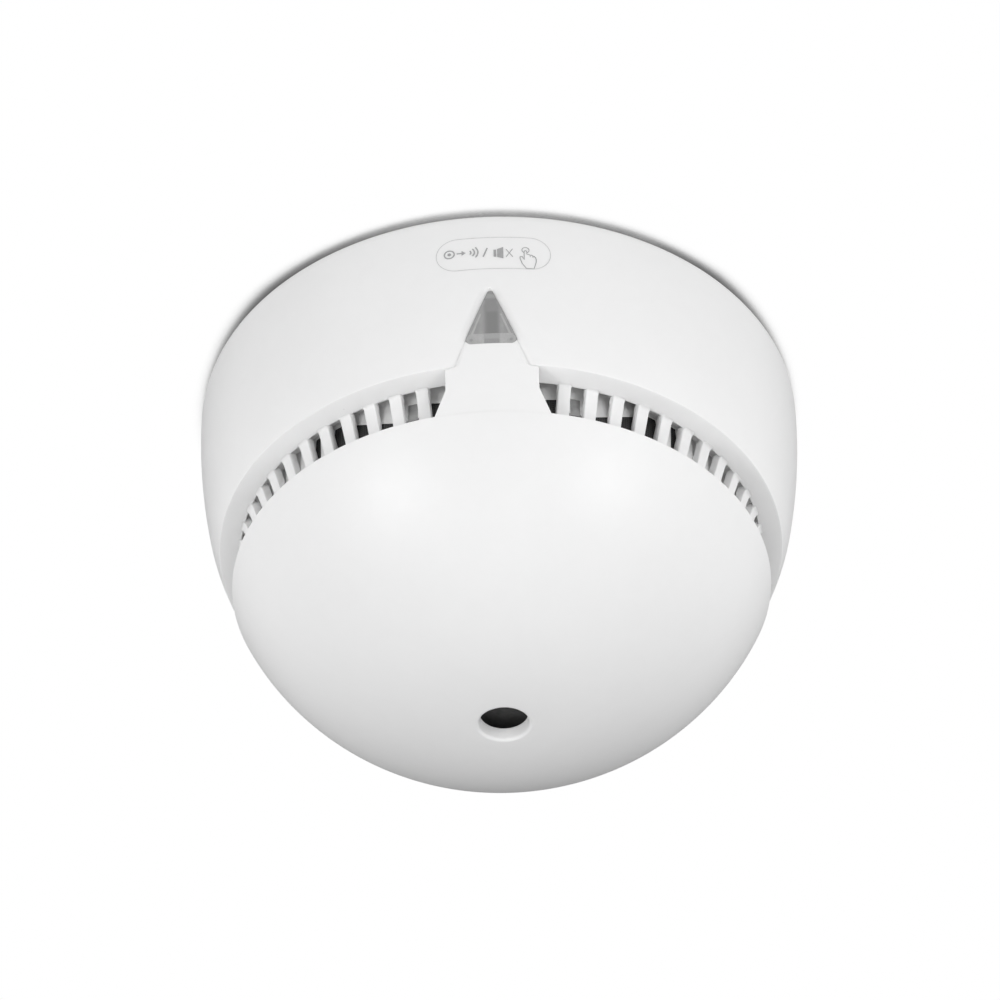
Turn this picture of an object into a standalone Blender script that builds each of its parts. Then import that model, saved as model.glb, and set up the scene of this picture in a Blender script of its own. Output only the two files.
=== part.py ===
"""Ceiling smoke detector, 100 mm across: a bayonet mounting plate, a turned
housing with a ring of vent slots, a domed cover with a sound outlet, a
triangular see-through test button, and the works inside.

Frame: metres, +Z up, the detector hangs down from the ceiling. The origin is
the centre of the mounting plate's ceiling face. The test button faces -Y.
All lengths below are millimetres and are scaled by MM where they are used.
"""
import math

import bmesh
import bpy
from mathutils import Matrix, Vector

MM = 0.001

# ---------------------------------------------------------------- dimensions
SEGMENTS = 60                # sides of the housing, one for each vent position
SIDES = 40                   # sides of the other large turned shapes

# mounting plate and its bayonet
PLATE_R = 45.0
PLATE_T = 2.2
PLATE_RECESS = 0.8
SCREW_PITCH = 60.0           # between the two ceiling screw slots
SCREW_SLOT_W = 4.6
SCREW_SLOT_HALF_DEG = 9.0
SCREW_ENTRY_R = 4.4
BAYONET_AT = (90.0, 210.0, 330.0)
BAYONET_HALF_DEG = 4.0
BAYONET_TWIST_DEG = 15.0
HOOK_R0, HOOK_R1, HOOK_TOE_R = 37.6, 39.4, 42.2

# front housing
TOP_Z = -2.0                 # upper edge of the housing below the ceiling
HOUSING_R = 50.1
HOUSING_TAPER = 0.0048       # radius lost per square millimetre of depth
HOUSING_DEPTH = 28.5         # down to the flat inward flange
WALL = 2.0
FLANGE_T = 1.4
RIB_OUT_R, RIB_IN_R = 41.95, 40.2
VENTS = 60                   # slot positions around the ring
VENT_W = 2.44
SPIGOT_R = 41.3
RIB_LEAN = 2.4               # how far the ribs lean in on their way down
BOSS_AT = (60.0, 180.0, 300.0)
BOSS_AXIS_R, BOSS_R = 43.0, 3.1

# dome cover
RIM_DEPTH = 36.1             # rim of the dome below the housing's upper edge
POLE_DEPTH = 62.225
DOME_R, DOME_START, DOME_LEN = 46.055, 26.475, 35.75
DOME_P, DOME_Q = 1.571, 1.0 / 2.2966
DOME_WALL = 2.1
HOLE_R = 4.0
HOLE_BOSS_R = 6.0

# test button, a rounded triangle with its point towards the ceiling
BTN_APEX_Z, BTN_BASE_Z, BTN_HALF_W = -17.2, -27.1, 4.35   # sharp corners
BTN_TIP_R, BTN_CORNER_R = 0.45, 0.9
BTN_GAP = 0.3
BTN_SKIN = 1.3
BTN_SIDE = 0.9
SWITCH_Z = -23.5

# board, tray and chamber
TRAY_Z0, TRAY_Z1 = -30.4, -29.2
BOARD_R = 38.5
BOARD_Z0, BOARD_Z1 = -28.8, -27.2
CHAMBER_R = 37.5
CHAMBER_TOP = -30.7
VANES = 18
SCREEN_R = 27.2
LEADS_AT = 64.0              # where both sounder leads pass the chamber

# battery, a standard 9 V block
BAT_L, BAT_W, BAT_T = 46.4, 26.3, 17.2
BAT_Y = 5.0
BAT_TOP = -3.4


# ------------------------------------------------------------------- helpers
def clear_scene():
    for obj in list(bpy.data.objects):
        bpy.data.objects.remove(obj, do_unlink=True)


def collection(name):
    coll = bpy.data.collections.new(name)
    bpy.context.scene.collection.children.link(coll)
    return coll


def material(name, colour, roughness, metallic=0.0):
    mat = bpy.data.materials.new(name)
    mat.use_nodes = True
    bsdf = mat.node_tree.nodes["Principled BSDF"]
    bsdf.inputs["Base Color"].default_value = (*colour, 1.0)
    bsdf.inputs["Roughness"].default_value = roughness
    bsdf.inputs["Metallic"].default_value = metallic
    mat.diffuse_color = (*colour, 1.0)
    return mat


def place(name, mesh, mat=None, cutter=False):
    obj = bpy.data.objects.new(name, mesh)
    (TOOLS if cutter else PARTS).objects.link(obj)
    if mat is not None:
        mesh.materials.append(mat)
    if cutter:
        obj.hide_render = True
        obj.display_type = "WIRE"
    return obj


def from_bmesh(name, bm, mat=None, cutter=False, smooth=30.0):
    bmesh.ops.recalc_face_normals(bm, faces=bm.faces)
    mesh = bpy.data.meshes.new(name)
    bm.to_mesh(mesh)
    bm.free()
    if smooth:
        mesh.shade_smooth()
        mesh.set_sharp_from_angle(angle=math.radians(smooth))
    return place(name, mesh, mat, cutter)


def turned(name, profile, mat=None, cutter=False, steps=SEGMENTS, closed=True):
    """A profile of (radius, z) turned about Z, running down its outer side."""
    count = len(profile)
    edges = [(i, i + 1) for i in range(count - 1)]
    if closed:
        edges.append((count - 1, 0))
    mesh = bpy.data.meshes.new(name)
    mesh.from_pydata([(r * MM, 0.0, z * MM) for r, z in profile], edges, [])
    obj = place(name, mesh, mat, cutter)
    screw = obj.modifiers.new("Turn", "SCREW")
    screw.axis = "Z"
    screw.angle = 2.0 * math.pi
    screw.steps = screw.render_steps = steps
    screw.use_merge_vertices = True
    screw.merge_threshold = 1e-5
    screw.use_smooth_shade = True
    return obj


def add_box(bm, size, centre, turn=0.0):
    """A box turned about the Z axis of the detector by turn degrees."""
    matrix = (Matrix.Rotation(math.radians(turn), 4, "Z")
              @ Matrix.Translation(Vector(centre) * MM)
              @ Matrix.Diagonal((*[s * MM for s in size], 1.0)))
    bmesh.ops.create_cube(bm, size=1.0, matrix=matrix)


def box(name, size, centre, mat=None, cutter=False, turn=0.0, bevel=0.0):
    bm = bmesh.new()
    add_box(bm, size, centre, turn)
    obj = from_bmesh(name, bm, mat, cutter, smooth=0.0)
    if bevel:
        mod = obj.modifiers.new("Edges", "BEVEL")
        mod.width = bevel * MM
        mod.segments = 1
        mod.limit_method = "ANGLE"
    return obj


def add_rod(bm, r, length, centre, axis="Z", sides=20, r_end=None):
    """A cylinder or cone about Z, X or Y; r_end is the radius at its + end."""
    turn = {"Z": Matrix.Identity(4),
            "X": Matrix.Rotation(math.pi / 2, 4, "Y"),
            "Y": Matrix.Rotation(-math.pi / 2, 4, "X")}[axis]
    bmesh.ops.create_cone(
        bm, cap_ends=True, cap_tris=False, segments=sides, radius1=r * MM,
        radius2=(r if r_end is None else r_end) * MM, depth=length * MM,
        matrix=Matrix.Translation(Vector(centre) * MM) @ turn)


def rod(name, r, length, centre, mat=None, cutter=False, axis="Z", sides=20):
    bm = bmesh.new()
    add_rod(bm, r, length, centre, axis, sides)
    return from_bmesh(name, bm, mat, cutter)


def polar(r, degrees, z=0.0):
    a = math.radians(degrees)
    return (r * math.cos(a), r * math.sin(a), z)


def add_prism(bm, outline, direction):
    """A flat outline of 3-D points pushed along direction."""
    face = bm.faces.new([bm.verts.new(Vector(p) * MM) for p in outline])
    out = bmesh.ops.extrude_face_region(bm, geom=[face])
    verts = [v for v in out["geom"] if isinstance(v, bmesh.types.BMVert)]
    bmesh.ops.translate(bm, verts=verts, vec=Vector(direction) * MM)


def add_sector(bm, r0, r1, a0, a1, z0, z1, step=4.0):
    n = max(1, round((a1 - a0) / step))
    angles = [a0 + (a1 - a0) * i / n for i in range(n + 1)]
    outline = [polar(r1, a, z0) for a in angles]
    outline += [polar(r0, a, z0) for a in reversed(angles)]
    add_prism(bm, outline, (0, 0, z1 - z0))


def boolean(obj, other, how="DIFFERENCE"):
    mod = obj.modifiers.new(other.name, "BOOLEAN")
    mod.operation = how
    mod.solver = "EXACT"
    mod.object = other
    return obj


def joined(obj, name, build, how="UNION"):
    """Boolean of obj with the separate shapes that build(bm) makes."""
    bm = bmesh.new()
    build(bm)
    return boolean(obj, from_bmesh(name, bm, cutter=True, smooth=0.0), how)


# -------------------------------------------------------- the outer surfaces
def wall_r(depth):
    return HOUSING_R - HOUSING_TAPER * depth * depth


def dome_r(depth, inset=0.0):
    """Radius of the dome's outer surface, or of one inset mm inside it."""
    span = DOME_LEN - inset
    w = max(0.0, depth - DOME_START)
    return (DOME_R - inset) * max(0.0, 1.0 - (w / span) ** DOME_P) ** DOME_Q


def dome_depth_at(r, inset=0.0):
    low, high = RIM_DEPTH, DOME_START + DOME_LEN - inset
    for _ in range(60):
        mid = 0.5 * (low + high)
        if dome_r(mid, inset) > r:
            low = mid
        else:
            high = mid
    return low


def triangle(grow=0.0, arc=4):
    """The button's rounded outline, as (x, z), grown outwards by grow."""
    half = math.atan2(BTN_HALF_W, BTN_APEX_Z - BTN_BASE_Z)
    base = math.pi / 2 - half
    apex_z = BTN_APEX_Z + grow / math.sin(half)
    base_z = BTN_BASE_Z - grow
    half_w = (apex_z - base_z) * math.tan(half)
    tip_r = max(BTN_TIP_R + grow, 0.2)
    corner_r = max(BTN_CORNER_R + grow, 0.2)
    tip = (0.0, apex_z - tip_r / math.sin(half))
    right = (half_w - corner_r / math.tan(base / 2), base_z + corner_r)
    out = []
    for (cx, cz), r, a0, a1 in (
            (tip, tip_r, math.pi - half, half),
            (right, corner_r, half, -math.pi / 2),
            ((-right[0], right[1]), corner_r, -math.pi / 2, -math.pi - half)):
        for i in range(arc + 1):
            a = a0 + (a1 - a0) * i / arc
            out.append((cx + r * math.cos(a), cz + r * math.sin(a)))
    return out


# --------------------------------------------------------------- the pieces
def make_mounting_plate():
    top, low = 0.0, -PLATE_T
    cut = -PLATE_RECESS
    plate = turned("mounting_plate", [
        (0.0, top), (13.0, top), (13.6, cut), (23.4, cut), (24.0, top),
        (35.5, top), (36.1, cut), (42.2, cut), (42.8, top),
        (PLATE_R - 0.4, top), (PLATE_R, top - 0.4), (PLATE_R, low),
        (0.0, low)], WHITE, steps=SIDES, closed=False)

    def hooks(bm):
        for a in BAYONET_AT:
            add_sector(bm, HOOK_R0, HOOK_R1, a - BAYONET_HALF_DEG,
                       a + BAYONET_HALF_DEG, -6.6, -1.5)
    joined(plate, "hook_stems", hooks)

    def toes(bm):
        for a in BAYONET_AT:
            add_sector(bm, HOOK_R0 + 0.4, HOOK_TOE_R, a - BAYONET_HALF_DEG + 0.3,
                       a + BAYONET_HALF_DEG - 0.3, -6.5, -5.2)
    joined(plate, "hook_toes", toes)

    r = SCREW_PITCH / 2
    w = SCREW_SLOT_W / 2

    def slots(bm):
        for a in (0.0, 180.0):
            add_sector(bm, r - w, r + w, a - SCREW_SLOT_HALF_DEG,
                       a + SCREW_SLOT_HALF_DEG, -4.0, 2.0, 3.0)
    joined(plate, "plate_slots", slots, "DIFFERENCE")

    def entries(bm):
        for a in (0.0, 180.0):
            add_rod(bm, SCREW_ENTRY_R, 6.0,
                    polar(r, a + SCREW_SLOT_HALF_DEG + 4.0, -1.0))
    joined(plate, "plate_entries", entries, "DIFFERENCE")


def make_rear_base():
    outer = HOUSING_R - WALL - 0.7
    base = turned("rear_base", [
        (0.0, -2.8), (outer, -2.8), (outer - 0.1, -6.5), (outer - 1.6, -6.5),
        (outer - 1.6, -4.8), (0.0, -4.8)], WHITE, steps=SIDES, closed=False)

    def pads(bm):
        for a in BOSS_AT:
            add_rod(bm, 4.3, 2.4, polar(BOSS_AXIS_R - 0.7, a, -5.4), sides=24)
    joined(base, "screw_pads", pads)

    def well(bm):
        add_box(bm, (BAT_L + 6.9, BAT_W + 3.4, 18.6), (0.8, BAT_Y, -13.1))
    joined(base, "well_block", well)

    def hollow(bm):
        add_box(bm, (BAT_L + 4.1, BAT_W + 0.8, 21.2), (0.8, BAT_Y, -10.5))
    joined(base, "well_hollow", hollow, "DIFFERENCE")

    def windows(bm):
        for y in (BAT_Y - 6.4, BAT_Y + 6.4):
            add_box(bm, (4.0, 6.0, 15.0), (BAT_L / 2 + 3.4, y, -16.0))
    joined(base, "contact_windows", windows, "DIFFERENCE")

    def narrow(bm):
        for a in BAYONET_AT:
            add_sector(bm, HOOK_R0 - 0.4, HOOK_R1 + 0.5,
                       a - BAYONET_HALF_DEG - 1.0,
                       a + BAYONET_TWIST_DEG + BAYONET_HALF_DEG + 1.0,
                       -6.0, -1.0)
    joined(base, "bayonet_slots", narrow, "DIFFERENCE")

    def wide(bm):
        for a in BAYONET_AT:
            add_sector(bm, HOOK_R0 - 0.2, HOOK_TOE_R + 0.5,
                       a + BAYONET_TWIST_DEG - BAYONET_HALF_DEG - 0.9,
                       a + BAYONET_TWIST_DEG + BAYONET_HALF_DEG + 0.9,
                       -6.1, -1.1)
    joined(base, "bayonet_entries", wide, "DIFFERENCE")

    def sinks(bm):
        for a in BOSS_AT:
            add_rod(bm, 3.1, 4.0, polar(BOSS_AXIS_R, a, -2.4), sides=24)
    joined(base, "head_sinks", sinks, "DIFFERENCE")

    def holes(bm):
        for a in BOSS_AT:
            add_rod(bm, 1.55, 8.0, polar(BOSS_AXIS_R, a, -6.0), sides=16)
    joined(base, "shank_holes", holes, "DIFFERENCE")


def make_front_housing():
    flange = TOP_Z - HOUSING_DEPTH
    profile = [(HOUSING_R - 0.5, TOP_Z), (wall_r(0.5), TOP_Z - 0.5)]
    profile += [(wall_r(d), TOP_Z - d)
                for d in (9.0, 17.0, 23.0, 27.6)]
    # below the flange the vent ring leans inwards, down to the dome's spigot
    profile += [(wall_r(28.5) - 0.4, flange), (RIB_OUT_R, flange),
                (RIB_OUT_R - RIB_LEAN, -37.9), (SPIGOT_R, -37.9), (SPIGOT_R, -39.9),
                (RIB_IN_R, -39.9), (RIB_IN_R, -38.9), (RIB_IN_R - RIB_LEAN, -38.9),
                (RIB_IN_R - RIB_LEAN, -37.9), (RIB_IN_R, flange - 0.1),
                (RIB_IN_R, flange + FLANGE_T)]
    profile += [(wall_r(d) - WALL, TOP_Z - d)
                for d in (27.1, 16.0, 0.0)]
    housing = turned("front_housing", profile, WHITE)

    def vents(bm):
        for i in range(VENTS):
            az = i * 360.0 / VENTS
            beside = min(az, 360.0 - az)
            if beside > 13.0:
                add_box(bm, (7.6, VENT_W, 7.1), (40.3, 0.0, -34.2), az - 90.0)
            elif beside > 9.0:
                # the first slot on each side runs right up to the tongue
                near = 11.35 if az < 180.0 else -11.35
                add_box(bm, (7.6, VENT_W + 0.98, 7.1), (40.3, 0.0, -34.2), near - 90.0)
    joined(housing, "vent_slots", vents, "DIFFERENCE")

    # the tongue that carries the housing's face down to the dome's rim
    def tongue(bm):
        levels = ((-27.3, 4.2, 45.6, 46.6), (-30.4, 5.7, 40.7, 46.25),
                  (-31.1, 7.05, 40.7, 45.95), (-34.2, 7.05, 39.7, 44.8),
                  (-37.8, 8.55, 38.6, 43.5))
        columns = 6
        rings = []
        for z, half, inner, outer in levels:
            ring = []
            for r, order in ((outer, range(columns + 1)),
                             (inner, range(columns, -1, -1))):
                for i in order:
                    a = math.asin(half / r) * (2.0 * i / columns - 1.0)
                    ring.append(bm.verts.new(Vector(
                        (r * math.sin(a), -r * math.cos(a), z)) * MM))
            rings.append(ring)
        n = len(rings[0])
        for a, b in zip(rings, rings[1:]):
            for i in range(n):
                bm.faces.new((a[i], a[(i + 1) % n], b[(i + 1) % n], b[i]))
        bm.faces.new(rings[0])
        bm.faces.new(rings[-1])
    joined(housing, "tongue", tongue)

    def bosses(bm):
        for a in BOSS_AT:
            add_rod(bm, BOSS_R, 22.7, polar(BOSS_AXIS_R, a, -18.25), sides=16)
    joined(housing, "screw_bosses", bosses)

    def pilots(bm):
        for a in BOSS_AT:
            add_rod(bm, 1.5, 12.0, polar(BOSS_AXIS_R, a, -11.0), sides=12)
    joined(housing, "pilot_holes", pilots, "DIFFERENCE")

    def button_hole(bm):
        add_prism(bm, [(x, -54.0, z) for x, z in triangle(BTN_GAP)],
                  (0, 12.6, 0))
    joined(housing, "button_hole", button_hole, "DIFFERENCE")


def make_dome_cover():
    rim = TOP_Z - RIM_DEPTH
    outer = [(dome_r(RIM_DEPTH) - 0.25, rim), (dome_r(RIM_DEPTH + 0.3), rim - 0.3)]
    for r in (41.2, 38.0, 33.8, 28.6, 22.4, 15.4, 8.4):
        outer.append((r, TOP_Z - dome_depth_at(r)))
    lip = dome_depth_at(HOLE_R + 0.5)
    outer += [(HOLE_R + 0.45, TOP_Z - lip), (HOLE_R + 0.12, TOP_Z - lip + 0.12),
              (HOLE_R, TOP_Z - lip + 0.5), (HOLE_R, TOP_Z - POLE_DEPTH + 3.1),
              (HOLE_BOSS_R - 0.3, TOP_Z - POLE_DEPTH + 3.1)]
    inner = [(HOLE_BOSS_R, TOP_Z - dome_depth_at(HOLE_BOSS_R, DOME_WALL))]
    for r in (13.0, 20.0, 27.0, 33.0, 37.0, 39.2):
        inner.append((r, TOP_Z - dome_depth_at(r, DOME_WALL)))
    step = RIM_DEPTH + 2.1
    inner += [(dome_r(step) - 2.0, TOP_Z - step), (dome_r(step) - 0.9, TOP_Z - step),
              (dome_r(RIM_DEPTH) - 0.95, rim)]
    dome = turned("dome_cover", outer + inner, WHITE, steps=48)

    def posts(bm):
        for a in (90.0, 210.0, 330.0):
            add_rod(bm, 1.8, 2.6, polar(14.5, a, -60.2), sides=8)
    joined(dome, "sounder_posts", posts)


def make_inner_tray():
    tray = turned("inner_tray", [
        (38.8, -27.6), (42.4, -27.6), (42.4, -28.7), (39.8, -28.7),
        (39.8, TRAY_Z0), (9.0, TRAY_Z0), (9.0, TRAY_Z1), (38.8, TRAY_Z1)],
        WHITE, steps=SIDES)

    def clear(bm):
        for a in BOSS_AT:
            add_rod(bm, BOSS_R + 0.4, 6.0, polar(BOSS_AXIS_R, a, -28.0), sides=16)
        for a in (0.0, 180.0):
            add_rod(bm, 1.45, 6.0, polar(31.0, a, -30.0), sides=12)
        add_rod(bm, 3.4, 6.0, polar(33.0, LEADS_AT, -30.0), sides=16)
    joined(tray, "tray_holes", clear, "DIFFERENCE")

    def front(bm):
        add_box(bm, (10.4, 8.0, 4.0), (0.0, -42.0, -27.15))
    joined(tray, "tray_front", front, "DIFFERENCE")


def make_circuit_board():
    board = rod("circuit_board", BOARD_R, BOARD_Z1 - BOARD_Z0,
                (0.0, 0.0, 0.5 * (BOARD_Z0 + BOARD_Z1)), GREEN, sides=48)

    def ear(bm):
        add_box(bm, (9.0, 8.0, BOARD_Z1 - BOARD_Z0),
                (0.0, -38.0, 0.5 * (BOARD_Z0 + BOARD_Z1)))
    joined(board, "board_ear", ear)

    def holes(bm):
        for a in (0.0, 180.0):
            add_rod(bm, 1.45, 6.0, polar(31.0, a, -28.0), sides=12)
        for a in BOSS_AT:
            add_rod(bm, BOSS_R + 0.5, 6.0, polar(BOSS_AXIS_R, a, -28.0), sides=16)
    joined(board, "board_holes", holes, "DIFFERENCE")


def make_battery():
    battery = box("battery", (BAT_L, BAT_W, BAT_T),
                  (-0.9, BAT_Y, BAT_TOP - BAT_T / 2), DARK, bevel=1.6)

    def studs(bm):
        x = -0.9 + BAT_L / 2
        add_rod(bm, 2.9, 2.9, (x + 0.8, BAT_Y - 6.4, BAT_TOP - BAT_T / 2),
                "X", 16)
        add_rod(bm, 3.8, 2.7, (x + 0.7, BAT_Y + 6.4, BAT_TOP - BAT_T / 2),
                "X", 12)
    joined(battery, "battery_studs", studs)


def make_contacts():
    x = BAT_L / 2 + 2.05
    for name, y in (("battery_contact_pos", BAT_Y - 6.4),
                    ("battery_contact_neg", BAT_Y + 6.4)):
        strip = box(name, (0.5, 5.2, 16.6), (x + 0.9, y, -18.4), NICKEL,
                    bevel=0.12)

        def pad(bm, y=y):
            add_box(bm, (1.2, 4.0, 4.6), (x + 0.5, y, -12.4))
        joined(strip, name + "_pad", pad)


def make_chamber_base():
    low = CHAMBER_TOP - 2.0
    base = turned("smoke_chamber_base", [
        (7.0, CHAMBER_TOP), (CHAMBER_R - 0.3, CHAMBER_TOP),
        (CHAMBER_R, CHAMBER_TOP - 0.3), (CHAMBER_R, CHAMBER_TOP - 3.6),
        (CHAMBER_R - 1.5, CHAMBER_TOP - 3.6), (CHAMBER_R - 1.5, low),
        (7.0, low)], BLACK, steps=SIDES)

    def lugs(bm):
        for az in (-38.0, 38.0, -142.0, 142.0):
            add_sector(bm, 35.0, 37.9, az - 90.0 - 6.5, az - 90.0 + 6.5,
                       -36.4, -31.1, 3.3)
    joined(base, "chamber_lugs", lugs)

    def blocks(bm):
        for a in (20.0, 160.0):
            add_box(bm, (10.0, 8.4, 9.4), (14.0, 0.0, -37.0), a)
    joined(base, "diode_holders", blocks)

    def notches(bm):
        for side in (-1.0, 1.0):
            add_sector(bm, 33.5, 41.0, side * 17.6 - 90.0 - 3.0,
                       side * 17.6 - 90.0 + 3.0, -36.0, -29.0, 2.0)
    joined(base, "rim_notches", notches, "DIFFERENCE")

    def steps(bm):
        for side in (-1.0, 1.0):
            add_sector(bm, 34.5, 41.0, side * 22.6 - 90.0 - 3.6,
                       side * 22.6 - 90.0 + 3.6, -33.2, -28.5, 2.4)
    joined(base, "rim_steps", steps, "DIFFERENCE")

    def holes(bm):
        for a in (0.0, 180.0):
            add_rod(bm, 1.4, 6.0, polar(31.0, a, -31.0), sides=12)
        add_rod(bm, 2.9, 8.0, polar(33.0, LEADS_AT, -32.0), sides=16)
    joined(base, "chamber_holes", holes, "DIFFERENCE")

    def bores(bm):
        for a in (20.0, 160.0):
            turn = Matrix.Rotation(math.radians(a), 4, "Z")
            bmesh.ops.create_cone(
                bm, cap_ends=True, segments=20, radius1=2.85 * MM,
                radius2=2.85 * MM, depth=14.0 * MM,
                matrix=turn @ Matrix.Translation(Vector((14.0, 0, -37.4)) * MM)
                @ Matrix.Rotation(math.pi / 2, 4, "Y"))
    joined(base, "diode_bores", bores, "DIFFERENCE")


def make_labyrinth_cap():
    cap = turned("labyrinth_cap", [
        (0.0, -44.3), (25.7, -44.3), (26.2, -44.8), (26.2, -45.5),
        (0.0, -45.5)], BLACK, steps=SIDES, closed=False)

    def vanes(bm):
        for i in range(VANES):
            a = i * 360.0 / VANES
            outline = []
            for r, lead in ((19.6, 0.0), (22.8, 7.0), (26.0, 0.5)):
                outline.append(polar(r, a + lead, -44.9))
            for r, lead in ((26.0, 3.0), (22.8, 10.0), (19.6, 3.4)):
                outline.append(polar(r, a + lead, -44.9))
            add_prism(bm, outline, (0, 0, 11.4))
    joined(cap, "vanes", vanes)

    def pegs(bm):
        for a in (30.0, 150.0, 270.0):
            add_rod(bm, 1.5, 3.2, polar(16.6, a, -46.5), sides=12)
    joined(cap, "cap_pegs", pegs)


def make_insect_screen():
    r0, r1, top, low = SCREEN_R, SCREEN_R + 0.45, -33.3, -44.6
    screen = turned("insect_screen", [(r0, top), (r1, top), (r1, low), (r0, low)],
                    STEEL, steps=24)

    def windows(bm):
        for i in range(24):
            add_box(bm, (3.0, 5.4, 8.6), (SCREEN_R, 0.0, -39.0),
                    (i + 0.5) * 15.0)
    joined(screen, "mesh_windows", windows, "DIFFERENCE")


def make_diodes():
    for name, a, mat in (("infrared_led", 20.0, AMBER),
                         ("photodiode", 160.0, DARK)):
        body = turned(name, [
            (0.0, 4.3), (1.2, 4.05), (2.1, 3.2), (2.5, 1.9), (2.5, -3.2),
            (2.5, -4.3), (0.0, -4.3)], mat, steps=16, closed=False)
        body.matrix_world = (
            Matrix.Rotation(math.radians(a), 4, "Z")
            @ Matrix.Translation(Vector((14.6, 0.0, -37.4)) * MM)
            @ Matrix.Rotation(-math.pi / 2, 4, "Y"))


def make_sounder():
    housing = turned("sounder_housing", [
        (16.0, -48.6), (17.4, -48.6), (17.4, -57.9), (16.7, -58.6),
        (3.0, -58.6), (3.0, -57.4), (12.4, -57.4), (12.4, -53.9),
        (14.4, -53.9), (14.4, -51.0), (16.0, -51.0)], BLACK, steps=28)
    turned("piezo_disc", [
        (0.0, -53.0), (10.0, -53.0), (10.0, -53.25), (13.9, -53.25),
        (13.9, -53.55), (0.0, -53.55)], BRASS, steps=28, closed=False)
    return housing


def lead(name, side, r_end, mat):
    """A thin wire from the board down beside the chamber to the sounder,
    side mm to one side of the plane that holds both leads' route."""
    across = Vector(polar(side, LEADS_AT + 90.0))
    knots = [(33.0, -29.3), (33.0, -33.0), (33.4, -38.0), (32.6, -43.0),
             (28.5, -46.4), (22.0, -47.1), (14.0, -47.4), (9.0, -49.0),
             (r_end, -52.2)]
    points = []
    for i in range(len(knots) - 1):
        p0 = Vector(knots[max(0, i - 1)])
        p1, p2 = Vector(knots[i]), Vector(knots[i + 1])
        p3 = Vector(knots[min(len(knots) - 1, i + 2)])
        for k in range(2):
            t = k / 2.0
            points.append(0.5 * ((2 * p1) + (p2 - p0) * t
                                 + (2 * p0 - 5 * p1 + 4 * p2 - p3) * t * t
                                 + (3 * p1 - p0 - 3 * p2 + p3) * t ** 3))
    points.append(Vector(knots[-1]))
    curve = bpy.data.curves.new(name, "CURVE")
    curve.dimensions = "3D"
    curve.bevel_depth = 0.5 * MM
    curve.bevel_resolution = 1
    curve.use_fill_caps = True
    spline = curve.splines.new("POLY")
    spline.points.add(len(points) - 1)
    for point, knot in zip(spline.points, points):
        place_at = (Vector(polar(knot[0], LEADS_AT, knot[1])) + across) * MM
        point.co = (*place_at, 1.0)
    obj = bpy.data.objects.new(name, curve)
    PARTS.objects.link(obj)
    curve.materials.append(mat)


def make_components():
    z = BOARD_Z1 + 0.3

    def chip(name, length, width, height, x, y, pins):
        body = box(name, (length, width, height),
                   (x, y, z + 0.25 + height / 2), DARK, bevel=0.2)

        def legs(bm):
            for side in (-1, 1):
                for i in range(pins):
                    px = x + (i - (pins - 1) / 2) * 1.27
                    add_box(bm, (0.45, 1.6, 0.3),
                            (px, y + side * (width / 2 + 0.5), z + 0.35))
        joined(body, name + "_legs", legs)

    chip("controller_chip", 10.3, 7.4, 2.2, -12.0, -24.0, 8)
    chip("sounder_driver_chip", 5.0, 4.0, 1.5, 6.0, -19.0, 4)

    turned("capacitor", [
        (0.0, z + 11.5), (3.4, z + 11.5), (4.0, z + 11.0), (4.0, z + 2.4),
        (3.7, z + 1.9), (4.0, z + 1.4), (4.0, z), (0.0, z)],
        BLACK, steps=18, closed=False).location = (18 * MM, -26 * MM, 0)
    turned("boost_coil", [
        (0.0, z + 9.0), (4.2, z + 9.0), (4.2, z + 7.8), (3.0, z + 7.2),
        (3.0, z + 2.0), (4.2, z + 1.4), (4.2, z), (0.0, z)],
        DARK, steps=18, closed=False).location = (-23 * MM, -17.5 * MM, 0)
    box("status_led", (1.6, 1.8, 0.6), (0.0, -40.9, z + 0.3), LENS, bevel=0.1)


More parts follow.
